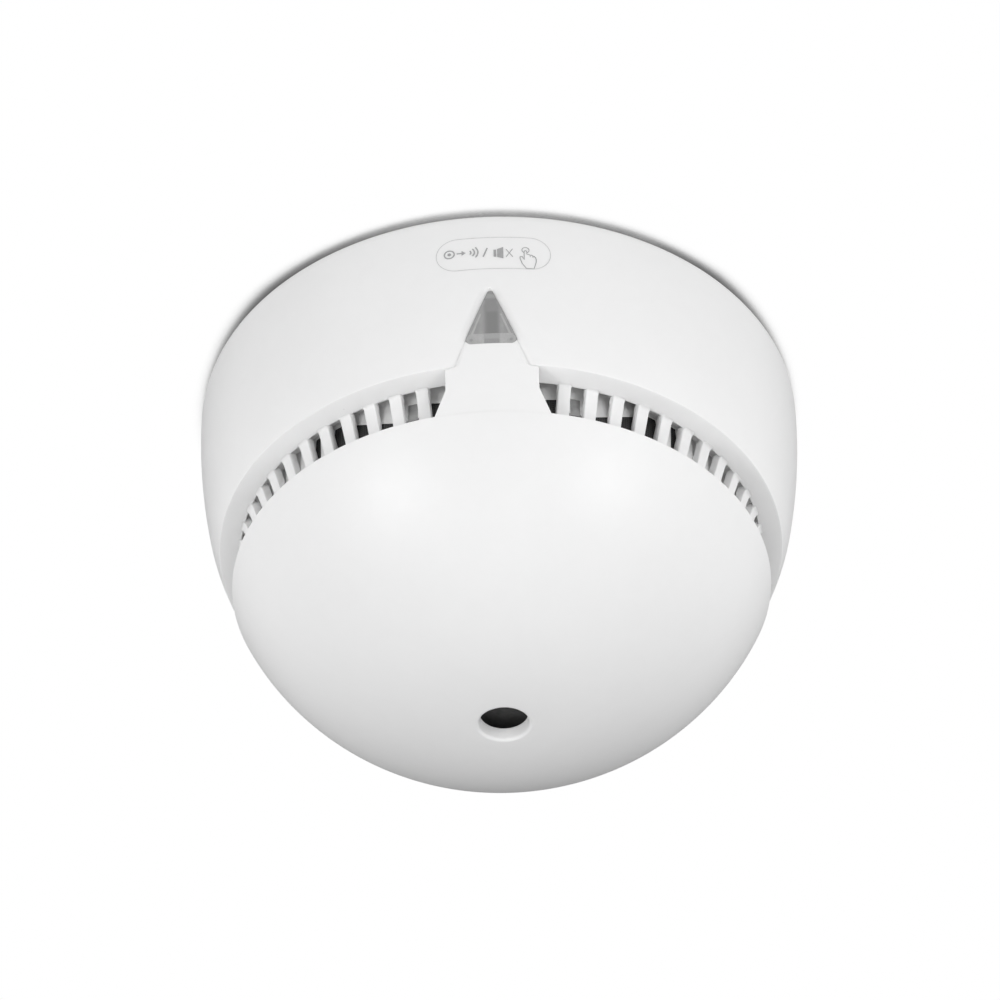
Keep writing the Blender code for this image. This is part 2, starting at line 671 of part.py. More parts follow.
def make_switch_and_button():
    z0 = BOARD_Z1 + 0.3
    body = box("tact_switch_body", (6.0, 3.6, 6.6), (0.0, -36.9, z0 + 3.3),
               DARK, bevel=0.3)

    def bore(bm):
        add_rod(bm, 2.05, 4.0, (0.0, -38.3, SWITCH_Z), "Y", 20)
    joined(body, "switch_bore", bore, "DIFFERENCE")

    plunger = rod("tact_switch_plunger", 1.75, 3.2,
                  (0.0, 0.0, 0.0), BLACK, axis="Y", sides=20)
    plunger.location = (0.0, -38.9 * MM, SWITCH_Z * MM)
    mod = plunger.modifiers.new("Edges", "BEVEL")
    mod.width, mod.segments, mod.limit_method = 0.25 * MM, 1, "ANGLE"

    bm = bmesh.new()
    add_prism(bm, [(x, -54.0, z) for x, z in triangle()], (0, 11.0, 0))
    button = from_bmesh("test_button", bm, LENS, smooth=25.0)
    depths = [0.0, 10.0, 14.0, 16.0, 18.0, 20.0, 22.0, 24.0, 26.0, 28.0]
    skin = [(0.0, TOP_Z)] + [(wall_r(d), TOP_Z - d) for d in depths]
    skin.append((0.0, TOP_Z - depths[-1]))
    boolean(button, turned("face_form", skin, cutter=True, steps=120,
                           closed=False), "INTERSECT")

    bm = bmesh.new()
    add_prism(bm, [(x, -56.0, z) for x, z in triangle(-BTN_SIDE)], (0, 16.0, 0))
    hollow = from_bmesh("button_hollow", bm, cutter=True, smooth=0.0)
    inside = [(0.0, TOP_Z)] + [(wall_r(d) - BTN_SKIN, TOP_Z - d) for d in depths]
    inside.append((0.0, TOP_Z - depths[-1]))
    boolean(hollow, turned("hollow_form", inside, cutter=True, steps=120,
                           closed=False), "INTERSECT")
    boolean(button, hollow)

    # the lip that keeps the button in, and the stem that presses the switch
    bm = bmesh.new()
    add_prism(bm, [(x, -43.9, z) for x, z in triangle(0.8)], (0, 0.85, 0))
    lip = from_bmesh("button_lip", bm, cutter=True, smooth=0.0)
    bm = bmesh.new()
    add_prism(bm, [(x, -46.0, z) for x, z in triangle(-BTN_SIDE + 0.05)],
              (0, 5.0, 0))
    boolean(lip, from_bmesh("lip_hollow", bm, cutter=True, smooth=0.0))
    boolean(button, lip, "UNION")

    def stem(bm):
        add_box(bm, (1.5, 6.6, 2.6), (0.0, -44.1, SWITCH_Z))
    joined(button, "button_stem", stem)


def make_screws():
    def screw(name, x, y, top, head_r, head_h, shank_r, length):
        """A pan-head screw with a round drive socket."""
        under = top - head_h
        obj = turned(name, [
            (0.0, top - 0.8), (1.1, top - 0.8), (1.1, top),
            (head_r - 0.3, top), (head_r, top - 0.3), (head_r, under),
            (shank_r, under), (shank_r, under - length + 0.9),
            (0.0, under - length)], STEEL, steps=12, closed=False)
        obj.location = (x * MM, y * MM, 0.0)

    for i, a in enumerate(BOSS_AT, 1):
        x, y, _ = polar(BOSS_AXIS_R, a)
        screw(f"case_screw_{i}", x, y, -2.9, 2.75, 1.2, 1.15, 9.0)
    for i, a in enumerate((0.0, 180.0), 1):
        x, y, _ = polar(31.0, a)
        screw(f"board_screw_{i}", x, y, -25.4, 2.5, 1.5, 1.05, 5.4)


# ---------------------------------------------------------------------- main
clear_scene()
PARTS = collection("smoke_detector")
TOOLS = collection("cutters")
TOOLS.hide_render = True

WHITE = material("white_plastic", (0.86, 0.86, 0.85), 0.42)
BLACK = material("black_plastic", (0.02, 0.02, 0.02), 0.5)
DARK = material("dark_moulding", (0.06, 0.06, 0.065), 0.45)
LENS = material("clear_plastic", (0.55, 0.55, 0.55), 0.15)
GREEN = material("board_laminate", (0.03, 0.16, 0.07), 0.4)
NICKEL = material("nickel", (0.72, 0.70, 0.66), 0.3, 1.0)
STEEL = material("steel", (0.6, 0.6, 0.6), 0.35, 1.0)
BRASS = material("brass", (0.75, 0.58, 0.28), 0.35, 1.0)
AMBER = material("amber_epoxy", (0.35, 0.30, 0.42), 0.1)
RED = material("red_sleeve", (0.55, 0.03, 0.02), 0.45)

make_mounting_plate()
make_rear_base()
make_front_housing()
make_dome_cover()
make_inner_tray()
make_circuit_board()
make_battery()
make_contacts()
make_chamber_base()
make_labyrinth_cap()
make_insect_screen()
make_diodes()
make_sounder()
lead("piezo_lead_red", -0.9, 8.0, RED)
lead("piezo_lead_black", 0.9, 11.5, BLACK)
make_components()
make_switch_and_button()
make_screws()
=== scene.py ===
import math

import bmesh
import bpy
import numpy as np
from mathutils import Matrix, Vector


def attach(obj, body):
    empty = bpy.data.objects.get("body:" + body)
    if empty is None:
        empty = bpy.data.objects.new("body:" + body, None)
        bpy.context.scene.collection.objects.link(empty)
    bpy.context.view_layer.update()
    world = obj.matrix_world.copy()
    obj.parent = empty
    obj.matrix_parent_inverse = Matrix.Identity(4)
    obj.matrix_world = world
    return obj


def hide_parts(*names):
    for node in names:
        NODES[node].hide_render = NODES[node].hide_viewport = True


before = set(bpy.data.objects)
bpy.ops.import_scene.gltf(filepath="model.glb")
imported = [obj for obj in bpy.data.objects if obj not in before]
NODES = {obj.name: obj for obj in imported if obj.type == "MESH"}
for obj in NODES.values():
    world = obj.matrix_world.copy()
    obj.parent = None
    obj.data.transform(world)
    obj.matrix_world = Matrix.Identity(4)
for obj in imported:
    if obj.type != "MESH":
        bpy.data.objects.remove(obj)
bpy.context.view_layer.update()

MM = 0.001
scene = bpy.context.scene

# ------------------------------------------------------------------ dimensions (mm)
TOP_Z = -2.0
FLANGE_Z = -30.58
FLANGE_IN, FLANGE_IN_Z = 42.38, -30.97
RIB_OUT, RIB_SLOPE, RIB_T, RIB_W = 42.46, 0.402, 1.60, 1.955
RIM_Z = -38.1
POLE_Z = -64.225
WALL = 2.0
SWITCH_Z = -23.5


def wall_r(z):
    d = TOP_Z - z
    return 50.1 - 0.0048 * d * d - 0.0097 * max(0.0, d - 22.0) ** 2


def dome_r(z, inset=0.0):
    d = TOP_Z - z
    span = 35.75 - inset
    w = max(0.0, d - 26.475)
    return (46.055 - inset) * max(0.0, 1.0 - (w / span) ** 1.571) ** (1.0 / 2.2966)


def dome_z(r, inset=0.0):
    lo, hi = 36.1, 26.475 + 35.75 - inset
    for _ in range(60):
        mid = 0.5 * (lo + hi)
        if dome_r(TOP_Z - mid, inset) > r:
            lo = mid
        else:
            hi = mid
    return TOP_Z - lo


# ------------------------------------------------------------------ mesh helpers
def link(obj):
    scene.collection.objects.link(obj)
    return obj


def mesh_object(name, verts, faces, mat=None, smooth=30.0):
    mesh = bpy.data.meshes.new(name)
    mesh.from_pydata([tuple(v) for v in verts], [], faces)
    mesh.validate()
    if smooth:
        mesh.shade_smooth()
        mesh.set_sharp_from_angle(angle=math.radians(smooth))
    if mat is not None:
        mesh.materials.append(mat)
    return link(bpy.data.objects.new(name, mesh))


def bm_object(name, bm, mat=None, smooth=30.0):
    bmesh.ops.recalc_face_normals(bm, faces=bm.faces)
    mesh = bpy.data.meshes.new(name)
    bm.to_mesh(mesh)
    bm.free()
    if smooth:
        mesh.shade_smooth()
        mesh.set_sharp_from_angle(angle=math.radians(smooth))
    if mat is not None:
        mesh.materials.append(mat)
    return link(bpy.data.objects.new(name, mesh))


def fillet(points, closed=True):
    """Rounds a 2-D outline. Each point is (x, y) or (x, y, radius[, segments])."""
    n = len(points)
    out = []
    for i in range(n):
        p = points[i]
        rad = p[2] if len(p) > 2 else 0.0
        seg = p[3] if len(p) > 3 else 5
        if rad <= 0.0 or (not closed and i in (0, n - 1)):
            out.append((p[0], p[1]))
            continue
        a = Vector(points[i - 1][:2])
        b = Vector(p[:2])
        c = Vector(points[(i + 1) % n][:2])
        u, v = (a - b), (c - b)
        lu, lv = u.length, v.length
        u, v = u / lu, v / lv
        half = 0.5 * math.acos(max(-1.0, min(1.0, u.dot(v))))
        t = rad / math.tan(half)
        t = min(t, 0.49 * lu, 0.49 * lv)
        r = t * math.tan(half)
        centre = b + (u + v).normalized() * (r / math.sin(half))
        s, e = b + u * t, b + v * t
        a0 = math.atan2(*(s - centre).yx)
        a1 = math.atan2(*(e - centre).yx)
        while a1 - a0 > math.pi:
            a1 -= 2 * math.pi
        while a1 - a0 < -math.pi:
            a1 += 2 * math.pi
        for k in range(seg + 1):
            q = a0 + (a1 - a0) * k / seg
            out.append((centre.x + r * math.cos(q), centre.y + r * math.sin(q)))
    return out


def revolve(name, profile, n=240, mat=None, closed=True, smooth=35.0, phase=0.0, angles=None):
    """Turns a profile of (r, z) in mm, running down its outer side, about Z."""
    if angles is None:
        angles = np.arange(n) * 2 * np.pi / n + phase
    n = len(angles)
    c, s = np.cos(angles), np.sin(angles)
    verts, rings = [], []
    for r, z in profile:
        if r < 1e-6:
            rings.append([len(verts)])
            verts.append((0.0, 0.0, z * MM))
        else:
            rings.append(list(range(len(verts), len(verts) + n)))
            verts.extend(zip(r * c * MM, r * s * MM, np.full(n, z * MM)))
    faces = []
    m = len(profile)
    for i in range(m if closed else m - 1):
        a, b = rings[i], rings[(i + 1) % m]
        if len(a) == 1 and len(b) == 1:
            continue
        for k in range(n):
            j = (k + 1) % n
            if len(a) == 1:
                faces.append((a[0], b[k], b[j]))
            elif len(b) == 1:
                faces.append((a[k], b[0], a[j]))
            else:
                faces.append((a[k], b[k], b[j], a[j]))
    return mesh_object(name, verts, faces, mat, smooth)


def join(name, objs, mat=None, smooth=30.0):
    """Joins objects' meshes into one new object and removes them."""
    bm = bmesh.new()
    for o in objs:
        me = o.data
        me.transform(o.matrix_world)
        bm.from_mesh(me)
        bpy.data.objects.remove(o)
    mesh = bpy.data.meshes.new(name)
    bm.to_mesh(mesh)
    bm.free()
    mesh.materials.clear()
    if mat:
        mesh.materials.append(mat)
    mesh.shade_smooth()
    mesh.set_sharp_from_angle(angle=math.radians(smooth))
    return link(bpy.data.objects.new(name, mesh))


def apply_modifiers(obj):
    graph = bpy.context.evaluated_depsgraph_get()
    mesh = bpy.data.meshes.new_from_object(obj.evaluated_get(graph))
    obj.modifiers.clear()
    obj.data = mesh
    return obj


def cut(obj, cutter, how="DIFFERENCE", smooth=30.0):
    mod = obj.modifiers.new("cut", "BOOLEAN")
    mod.operation = how
    mod.solver = "EXACT"
    mod.object = cutter
    bpy.context.view_layer.update()
    apply_modifiers(obj)
    bpy.data.objects.remove(cutter)
    obj.data.shade_smooth()
    obj.data.set_sharp_from_angle(angle=math.radians(smooth))
    return obj


def prism(name, outline, direction, mat=None, smooth=30.0):
    bm = bmesh.new()
    face = bm.faces.new([bm.verts.new(Vector(p) * MM) for p in outline])
    out = bmesh.ops.extrude_face_region(bm, geom=[face])
    verts = [g for g in out["geom"] if isinstance(g, bmesh.types.BMVert)]
    bmesh.ops.translate(bm, verts=verts, vec=Vector(direction) * MM)
    return bm_object(name, bm, mat, smooth)


def polar(r, deg, z=0.0):
    a = math.radians(deg)
    return (r * math.cos(a), r * math.sin(a), z)


# ------------------------------------------------------------------ materials
class Nodes:
    """A small wrapper that wires a node tree."""

    def __init__(self, name):
        self.mat = bpy.data.materials.new(name)
        self.mat.use_nodes = True
        self.tree = self.mat.node_tree
        self.bsdf = self.tree.nodes["Principled BSDF"]
        self.out = self.tree.nodes["Material Output"]
        self.coord = self.tree.nodes.new("ShaderNodeTexCoord")

    def node(self, kind, **values):
        n = self.tree.nodes.new(kind)
        for key, value in values.items():
            if key.startswith("_"):
                setattr(n, key[1:], value)
            else:
                n.inputs[key.replace("_", " ")].default_value = value
        return n

    def wire(self, a, b):
        self.tree.links.new(a, b)

    def noise(self, scale, detail=3.0, rough=0.5, distort=0.0, coord="Object"):
        n = self.node("ShaderNodeTexNoise", Scale=scale, Detail=detail,
                      Roughness=rough, Distortion=distort)
        self.wire(self.coord.outputs[coord], n.inputs["Vector"])
        return n.outputs["Fac"]

    def voronoi(self, scale, feature="F1", coord="Object"):
        n = self.node("ShaderNodeTexVoronoi", _feature=feature, Scale=scale)
        self.wire(self.coord.outputs[coord], n.inputs["Vector"])
        return n.outputs["Distance"]

    def ramp(self, fac, stops):
        n = self.tree.nodes.new("ShaderNodeValToRGB")
        els = n.color_ramp.elements
        while len(els) > 1:
            els.remove(els[-1])
        els[0].position, els[0].color = stops[0][0], (*stops[0][1], 1.0)
        for pos, col in stops[1:]:
            e = els.new(pos)
            e.color = (*col, 1.0)
        self.wire(fac, n.inputs["Fac"])
        return n.outputs["Color"]

    def remap(self, value, a, b, c, d):
        n = self.node("ShaderNodeMapRange")
        self.wire(value, n.inputs["Value"])
        for key, v in zip(("From Min", "From Max", "To Min", "To Max"), (a, b, c, d)):
            n.inputs[key].default_value = v
        return n.outputs["Result"]

    def math(self, op, a, b=0.0):
        n = self.tree.nodes.new("ShaderNodeMath")
        n.operation = op
        for i, v in enumerate((a, b)):
            if isinstance(v, (int, float)):
                n.inputs[i].default_value = v
            else:
                self.wire(v, n.inputs[i])
        return n.outputs[0]

    def mix(self, fac, a, b):
        n = self.tree.nodes.new("ShaderNodeMix")
        n.data_type = "RGBA"
        if isinstance(fac, (int, float)):
            n.inputs[0].default_value = fac
        else:
            self.wire(fac, n.inputs[0])
        for i, v in ((6, a), (7, b)):
            if isinstance(v, tuple):
                n.inputs[i].default_value = (*v, 1.0)
            else:
                self.wire(v, n.inputs[i])
        return n.outputs[2]

    def band(self, value, a, b, soft):
        """1 between a and b, falling smoothly to 0 over the width given."""
        up = self.node("ShaderNodeMapRange", _interpolation_type="SMOOTHSTEP")
        down = self.node("ShaderNodeMapRange", _interpolation_type="SMOOTHSTEP")
        for n, lo, hi, c, d in ((up, a - soft / 2, a + soft / 2, 0.0, 1.0), (down, b - soft / 2, b + soft / 2, 1.0, 0.0)):
            self.wire(value, n.inputs["Value"])
            for key, v in zip(("From Min", "From Max", "To Min", "To Max"), (lo, hi, c, d)):
                n.inputs[key].default_value = v
        return self.math("MULTIPLY", up.outputs["Result"], down.outputs["Result"])

    def axes(self):
        """Object coordinates in millimetres."""
        n = self.tree.nodes.new("ShaderNodeSeparateXYZ")
        self.wire(self.coord.outputs["Object"], n.inputs[0])
        return [self.math("MULTIPLY", n.outputs[k], 1000.0) for k in "XYZ"]

    def bump(self, height, strength, distance, before=None):
        n = self.node("ShaderNodeBump", Strength=strength, Distance=distance)
        self.wire(height, n.inputs["Height"])
        if before is not None:
            self.wire(before, n.inputs["Normal"])
        return n.outputs["Normal"]

    def set(self, name, value):
        if isinstance(value, (int, float)):
            self.bsdf.inputs[name].default_value = value
        elif isinstance(value, tuple):
            self.bsdf.inputs[name].default_value = (*value, 1.0)
        else:
            self.wire(value, self.bsdf.inputs[name])


LENS_APEX_Z, LENS_BASE_Z = -17.02, -27.36
LENS_HALF = math.atan2(4.33, 10.34)
LENS_X = -0.095


def white_plastic(name, base=(0.90, 0.90, 0.90), rough=0.42, grain=1.0, soak=0.5, painted_lens_shade=0.0):
    """Moulded white ABS: fine spark-eroded grain, faint flow marks, a few specks, and optional painted shade beside the
    lens.
    """
    m = Nodes(name)
    cloud = m.noise(35.0, 3.0)
    flow = m.noise(220.0, 4.0, 0.6, 0.8)
    tone = m.math("ADD", m.math("MULTIPLY", cloud, 0.6), m.math("MULTIPLY", flow, 0.4))
    lo = tuple(c * 0.985 for c in base)
    hi = tuple(min(1.0, c * 1.012) for c in base)
    colour = m.ramp(tone, [(0.30, lo), (0.70, hi)])
    # a few tiny darker specks, as on any real moulding
    cell = m.node("ShaderNodeTexVoronoi", _feature="F1", Scale=260.0, Randomness=1.0)
    m.wire(m.coord.outputs["Object"], cell.inputs["Vector"])
    near = m.remap(cell.outputs["Distance"], 0.02, 0.05, 1.0, 0.0)
    sep = m.tree.nodes.new("ShaderNodeSeparateColor")
    m.wire(cell.outputs["Color"], sep.inputs["Color"])
    rare = m.remap(sep.outputs["Red"], 0.965, 0.975, 0.0, 1.0)
    speck = m.math("MULTIPLY", m.math("MULTIPLY", near, rare), 0.35)
    colour = m.mix(speck, colour, tuple(c * 0.62 for c in base))
    if painted_lens_shade:
        # painted shade: the wall colour is made greyer beside the slanted edges of the smoked button, standing in for
        # the soft shade around it
        x, y, z = m.axes()
        half = m.math("MULTIPLY", m.math("SUBTRACT", LENS_APEX_Z, z), math.tan(LENS_HALF))
        off = m.math("SUBTRACT", m.math("ABSOLUTE", m.math("SUBTRACT", x, LENS_X)), half)
        near_edge = m.remap(m.math("MULTIPLY", off, math.cos(LENS_HALF)), 0.0, 1.3, 1.0, 0.0)
        ends = m.math("MULTIPLY", m.remap(z, -18.3, -17.2, 1.0, 0.0), m.remap(z, -27.0, -25.0, 0.0, 1.0))
        front = m.remap(y, -40.0, -35.0, 1.0, 0.0)
        amount = m.math("MULTIPLY", m.math("MULTIPLY", near_edge, m.math("MULTIPLY", ends, front)), painted_lens_shade)
        colour = m.mix(amount, colour, tuple(c * 0.5 for c in base))
    m.set("Base Color", colour)
    m.set("Roughness", m.remap(m.noise(900.0, 2.0), 0.3, 0.7, rough - 0.05, rough + 0.06))
    grain_h = m.noise(5200.0, 2.0, 0.6)
    fine = m.bump(grain_h, 0.10 * grain, 0.00004)
    wave = m.bump(m.noise(60.0, 2.0), 0.05, 0.0004, fine)
    m.set("Normal", wave)
    m.set("Specular IOR Level", 0.42)
    m.set("IOR", 1.52)
    # light soaks a little way into the plastic and softens its creases
    m.bsdf.subsurface_method = "RANDOM_WALK"
    m.set("Subsurface Weight", soak)
    m.bsdf.inputs["Subsurface Radius"].default_value = (1.0, 1.0, 1.0)
    m.set("Subsurface Scale", 0.0007)
    return m.mat


def black_plastic(name, base=(0.022, 0.022, 0.023), rough=0.55):
    m = Nodes(name)
    tone = m.noise(400.0, 4.0, 0.6)
    m.set("Base Color", m.ramp(tone, [(0.3, tuple(c * 0.8 for c in base)),
                                      (0.7, tuple(c * 1.5 for c in base))]))
    m.set("Roughness", m.remap(m.noise(1500.0, 2.0), 0.3, 0.7, rough - 0.08, rough + 0.1))
    m.set("Normal", m.bump(m.noise(3800.0, 3.0, 0.6), 0.18, 0.00005))
    return m.mat


def metal(name, base, rough=0.3, stretch=(1.0, 1.0, 14.0)):
    m = Nodes(name)
    mapping = m.node("ShaderNodeMapping")
    mapping.inputs["Scale"].default_value = stretch
    m.wire(m.coord.outputs["Object"], mapping.inputs["Vector"])
    n = m.node("ShaderNodeTexNoise", Scale=900.0, Detail=4.0, Roughness=0.6)
    m.wire(mapping.outputs["Vector"], n.inputs["Vector"])
    m.set("Base Color", m.ramp(n.outputs["Fac"], [(0.3, tuple(c * 0.82 for c in base)),
                                                  (0.7, tuple(min(1, c * 1.05) for c in base))]))
    m.set("Metallic", 1.0)
    m.set("Roughness", m.remap(m.noise(300.0, 3.0), 0.3, 0.7, rough - 0.08, rough + 0.12))
    m.set("Normal", m.bump(n.outputs["Fac"], 0.08, 0.00004))
    return m.mat


WHITE = white_plastic("white_abs")
# the shell material carries painted shade beside the lens
WHITE_SHELL = white_plastic("white_abs_shell_painted_shade", painted_lens_shade=0.34)
WHITE_COVER = white_plastic("white_abs_cover", (0.897, 0.897, 0.897), soak=0.12)
# this grey is painted shade: it stands in for the shade inside a recess behind the vents
RECESS_SHADE = black_plastic("recess_shade_grey", (0.26, 0.26, 0.26), 0.5)
WHITE_IN = white_plastic("white_abs_inner", (0.86, 0.86, 0.855), 0.5, 1.4)
BLACK = black_plastic("black_abs")


def mesh_black(name):
    """Black woven screen: a fine grid of holes over a dark core."""
    m = Nodes(name)
    x, y, z = m.axes()
    around = m.math("MULTIPLY", m.math("ARCTAN2", x, y), 39.3 / 0.42)
    rise = m.math("MULTIPLY", z, 1.0 / 0.42)
    warp = m.math("MULTIPLY", m.math("ABSOLUTE", m.math("SINE", m.math("MULTIPLY", around, math.pi))), 1.0)
    weft = m.math("MULTIPLY", m.math("ABSOLUTE", m.math("SINE", m.math("MULTIPLY", rise, math.pi))), 1.0)
    hole = m.math("MULTIPLY", warp, weft)
    m.set("Base Color", m.ramp(hole, [(0.35, (0.030,) * 3), (0.6, (0.006,) * 3)]))
    m.set("Roughness", 0.6)
    m.set("Normal", m.bump(hole, 0.4, 0.0001))
    return m.mat


MESH_BLACK = mesh_black("screen_mesh")
GRILLE = black_plastic("sounder_grey", (0.15, 0.15, 0.15), 0.6)
DARK = black_plastic("moulding_compound", (0.05, 0.05, 0.054), 0.45)
STEEL = metal("zinc_plated_steel", (0.62, 0.62, 0.62), 0.34)
NICKEL = metal("nickel_strip", (0.74, 0.71, 0.66), 0.26, (14.0, 1.0, 1.0))
BRASS = metal("brass_sheet", (0.78, 0.60, 0.30), 0.32, (6.0, 1.0, 1.0))
RED = black_plastic("red_sleeve", (0.50, 0.03, 0.02), 0.4)


def ink_material(name="pad_print_ink", lo=0.34, hi=0.43):
    m = Nodes(name)
    tone = m.noise(2600.0, 3.0, 0.7)
    m.set("Base Color", m.ramp(tone, [(0.25, (lo, lo, lo + 0.005)), (0.75, (hi, hi, hi + 0.005))]))
    m.set("Roughness", 0.6)
    m.set("Normal", m.bump(tone, 0.1, 0.00002))
    return m.mat


INK = ink_material()
INK_FAINT = ink_material("pad_print_faint", 0.56, 0.64)


def lens_material():
    """Smoke-grey clear plastic: most of the light passes straight in, the rest scatters."""
    m = Nodes("smoked_clear_plastic")
    cloud = m.noise(900.0, 3.0, 0.6)
    m.set("Base Color", m.ramp(cloud, [(0.3, (0.30, 0.30, 0.30)), (0.7, (0.36, 0.36, 0.36))]))
    m.set("Roughness", m.remap(m.noise(2500.0, 2.0), 0.3, 0.7, 0.18, 0.28))
    m.set("IOR", 1.5)
    m.set("Normal", m.bump(m.noise(1800.0, 2.0), 0.06, 0.00004))
    clear = m.node("ShaderNodeBsdfTransparent")
    clear.inputs["Color"].default_value = (0.92, 0.92, 0.92, 1.0)
    mix = m.node("ShaderNodeMixShader")
    # the surface turns more cloudy at a glancing angle, alike from both sides
    face = m.node("ShaderNodeLayerWeight", Blend=0.5)
    through = m.remap(face.outputs["Facing"], 0.35, 0.95, 0.76, 0.45)
    m.wire(through, mix.inputs[0])
    m.wire(m.bsdf.outputs[0], mix.inputs[1])
    m.wire(clear.outputs[0], mix.inputs[2])
    m.wire(mix.outputs[0], m.out.inputs["Surface"])
    return m.mat


LENS = lens_material()


def smoked(name, base, shades=()):
    """A clouded inner face of the smoke-grey moulding. Shades are soft-edged
    patches (x0, x1, z0, z1, softness, tone) in millimetres."""
    m = Nodes(name)
    cloud = m.noise(1500.0, 3.0, 0.6)
    colour = m.ramp(cloud, [(0.3, (base * 0.93,) * 3), (0.7, (base * 1.07,) * 3)])
    if shades:
        x, _, z = m.axes()
    for x0, x1, z0, z1, soft, tone in shades:
        where = m.math("MULTIPLY", m.band(x, x0, x1, soft), m.band(z, z0, z1, soft))
        colour = m.mix(where, colour, (tone,) * 3)
    m.set("Base Color", colour)
    m.set("Roughness", m.remap(m.noise(3000.0, 2.0), 0.3, 0.7, 0.28, 0.42))
    m.set("Normal", m.bump(cloud, 0.12, 0.00005))
    return m.mat


LENS_PLATE = smoked("smoked_plate", 0.53, [
    (-1.15, 1.25, -26.0, -20.2, 0.8, 0.38), (-0.75, 0.95, -25.6, -21.6, 0.7, 0.31),
    (-1.0, 0.95, -20.9, -19.1, 0.5, 0.38), (-0.6, 0.5, -18.3, -17.0, 0.5, 0.40),
    (-3.0, -1.9, -25.4, -23.4, 0.5, 0.48), (1.9, 2.9, -25.4, -23.4, 0.5, 0.48)])
LENS_LEDGE = smoked("smoked_ledge", 0.72, [
    (-1.2, 1.25, -27.6, -24.5, 0.25, 0.60), (-1.1, 1.15, -27.6, -26.35, 0.3, 0.50)])
LENS_PALE = smoked("smoked_rib", 0.70)
LENS_MID = smoked("smoked_pit", 0.68)
LENS_DEEP = smoked("smoked_core", 0.54)


def board_material():
    m = Nodes("solder_mask")
    b = m.node("ShaderNodeTexBrick", Scale=260.0)
    b.inputs["Color1"].default_value = (0.02, 0.14, 0.06, 1)
    b.inputs["Color2"].default_value = (0.025, 0.17, 0.07, 1)
    b.inputs["Mortar"].default_value = (0.05, 0.26, 0.12, 1)
    b.inputs["Mortar Size"].default_value = 0.04
    m.wire(m.coord.outputs["Object"], b.inputs["Vector"])
    m.set("Base Color", b.outputs["Color"])
    m.set("Roughness", m.remap(m.noise(500.0, 2.0), 0.3, 0.7, 0.28, 0.42))
    m.set("Normal", m.bump(b.outputs["Fac"], 0.15, 0.00004))
    return m.mat


BOARD = board_material()

# ------------------------------------------------------------------ front housing


def triangle(grow=0.0, arc=10):
    """The lens outline as (x, z), clockwise from the tip."""
    half = LENS_HALF
    base = math.pi / 2 - half
    apex_z = LENS_APEX_Z + grow / math.sin(half)
    base_z = LENS_BASE_Z - grow
    half_w = (apex_z - base_z) * math.tan(half)
    tip_r = max(0.45 + grow, 0.2)
    cor_r = max(0.9 + grow, 0.2)
    tip = (0.0, apex_z - tip_r / math.sin(half))
    right = (half_w - cor_r / math.tan(base / 2), base_z + cor_r)
    out = []
    for (cx, cz), r, a0, a1 in ((tip, tip_r, math.pi - half, half),
                                (right, cor_r, half, -math.pi / 2),
                                ((-right[0], right[1]), cor_r, -math.pi / 2, -math.pi - half)):
        for i in range(arc + 1):
            a = a0 + (a1 - a0) * i / arc
            out.append((cx + r * math.cos(a), cz + r * math.sin(a)))
    return out


front = -np.pi / 2
dense = np.radians(9.6)
columns = np.concatenate([np.linspace(-dense, dense, 150),
                          np.linspace(dense, 2 * np.pi - dense, 460)[1:-1]]) + front
wall_rows = np.concatenate([np.linspace(-2.9, -16.2, 18), np.linspace(-16.35, -28.2, 84),
                            [-28.7, -29.2, -29.7]])
profile = fillet(
    [(50.0, TOP_Z, 0.45, 6)]
    + [(wall_r(z), z) for z in wall_rows]
    + [(wall_r(FLANGE_Z) + 0.01, FLANGE_Z, 0.10, 4),
       (FLANGE_IN, FLANGE_IN_Z, 0.06, 3), (FLANGE_IN, -29.6, 0.06, 2)]
    + [(43.6, -29.3, 0.5, 4)]
    + [(wall_r(z) - WALL, z) for z in np.linspace(-27.0, TOP_Z - 0.6, 14)]
    + [(48.1, TOP_Z, 0.3, 3)])
housing = revolve("housing_shell", profile, mat=WHITE_SHELL, angles=columns)

# the wall dips a little where it meets the slanted sides of the lens
co = np.empty(len(housing.data.vertices) * 3)
housing.data.vertices.foreach_get("co", co)
co = co.reshape(-1, 3)
mm = co / MM
rr = np.hypot(mm[:, 0], mm[:, 1])
near = (mm[:, 1] < -44.0) & (abs(mm[:, 0]) < 7.5) & (mm[:, 2] < -15.5) & (mm[:, 2] > -28.0)
near &= rr > 50.1 - 0.0048 * (TOP_Z - mm[:, 2]) ** 2 - 1.0
tri = np.array(triangle(0.0, 8))
a, b = tri, np.roll(tri, -1, axis=0)
for i in np.nonzero(near)[0]:
    q = mm[i, [0, 2]] - np.array([LENS_X, 0.0])
    ab = b - a
    t = np.clip(((q - a) * ab).sum(1) / np.maximum((ab * ab).sum(1), 1e-9), 0, 1)
    d = np.hypot(*(a + ab * t[:, None] - q).T).min()
    inside = abs(q[0]) < (LENS_APEX_Z - q[1]) * math.tan(LENS_HALF) and q[1] > LENS_BASE_Z
    d = 0.0 if inside else d
    low = min(1.0, max(0.0, (q[1] + 27.2) / 0.9))
    if d < 1.0:
        drop = 0.30 * (1 - d) ** 2 * low * low * (3 - 2 * low)
        k = (rr[i] - drop) / rr[i]
        co[i, :2] *= k
housing.data.vertices.foreach_set("co", co.ravel())
housing.data.update()
cut(housing, prism("lens_hole", [(x + LENS_X, -54.0, z) for x, z in triangle(0.03, 14)], (0, 14.0, 0)))

# ribs between the flange and the rim of the dome, leaning in on their way down
ribs = []


